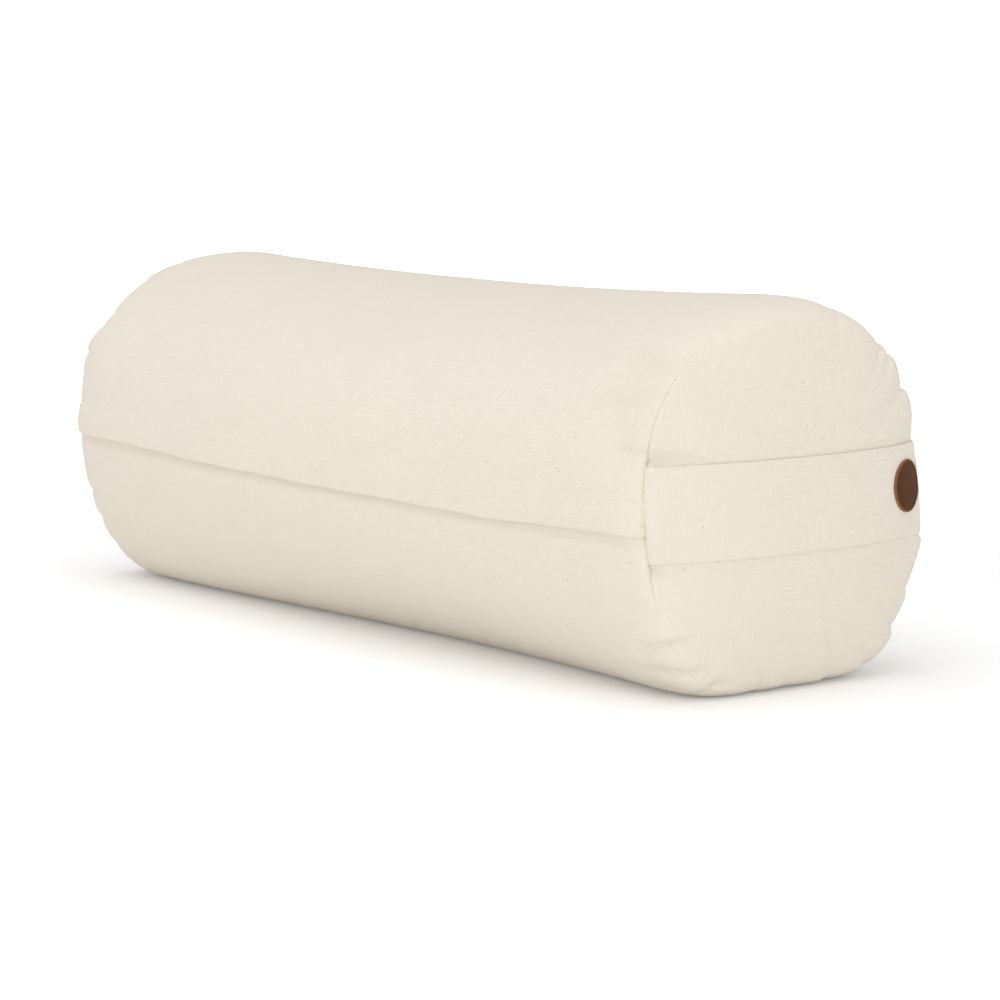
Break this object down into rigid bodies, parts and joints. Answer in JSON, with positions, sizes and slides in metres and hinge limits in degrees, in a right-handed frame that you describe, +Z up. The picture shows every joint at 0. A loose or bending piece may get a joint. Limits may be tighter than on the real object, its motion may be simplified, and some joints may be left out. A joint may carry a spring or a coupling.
{
  "type": "yoga bolster",
  "caption": "Round stuffed yoga bolster in natural canvas with a lapped zip along one side, a flat fabric handle across one end and a bare round leather badge.",
  "frame": {"origin": "on the floor under the middle of the bolster's length, below its long axis", "axes": "+X along the bolster toward the end with the handle, +Z up, -Y toward the lapped side"},
  "size_m": [0.6526, 0.2493, 0.2258],
  "materials": {
    "canvas": "undyed plain-weave cotton canvas with small dark seed flecks",
    "leather": "smooth dark brown leather with a darker burnished edge",
    "zip_tape": "woven tape",
    "resin": "moulded cream resin",
    "zinc": "die-cast and plated, satin",
    "calico": "thin unbleached calico",
    "fibre": "matted loose fibre"
  },
  "bodies": {
    "bolster": {"cover_body": "canvas", "end_panel_near": "canvas", "end_panel_far": "canvas", "handle_strap": "canvas", "leather_badge": "leather", "zip_tape_upper": "zip_tape", "zip_tape_lower": "zip_tape", "zip_teeth_upper": "resin", "zip_teeth_lower": "resin", "zip_top_stop_upper": "zinc", "zip_top_stop_lower": "zinc", "zip_bottom_stop": "zinc", "liner_body": "calico", "liner_end_near": "calico", "liner_end_far": "calico", "filling": "fibre"},
    "lap": {"placket_flap": "canvas"},
    "slider": {"zip_slider": "zinc"},
    "pull": {"zip_pull": "zinc"}
  },
  "joints": [
    {"name": "lap_lift", "type": "hinge", "parent": "bolster", "child": "lap", "pos_m": [0, -0.12382, 0.1226], "axis": [-1, 0, 0.0098], "range_deg": [0, 150]},
    {"name": "zip_run", "type": "slide", "parent": "bolster", "child": "slider", "axis": [-1, 0, 0.0098], "range_m": [0, 0.467], "deforming": ["zip_teeth_upper", "zip_teeth_lower"]},
    {"name": "pull_swing", "type": "hinge", "parent": "slider", "child": "pull", "pos_m": [0.23349, -0.11519, 0.10732], "axis": [0.0098, 0, 1], "range_deg": [0, 90]}
  ],
  "couplings": [
    {"joint": "pull_swing", "follows": "lap_lift", "ratio": 0.6}
  ]
}
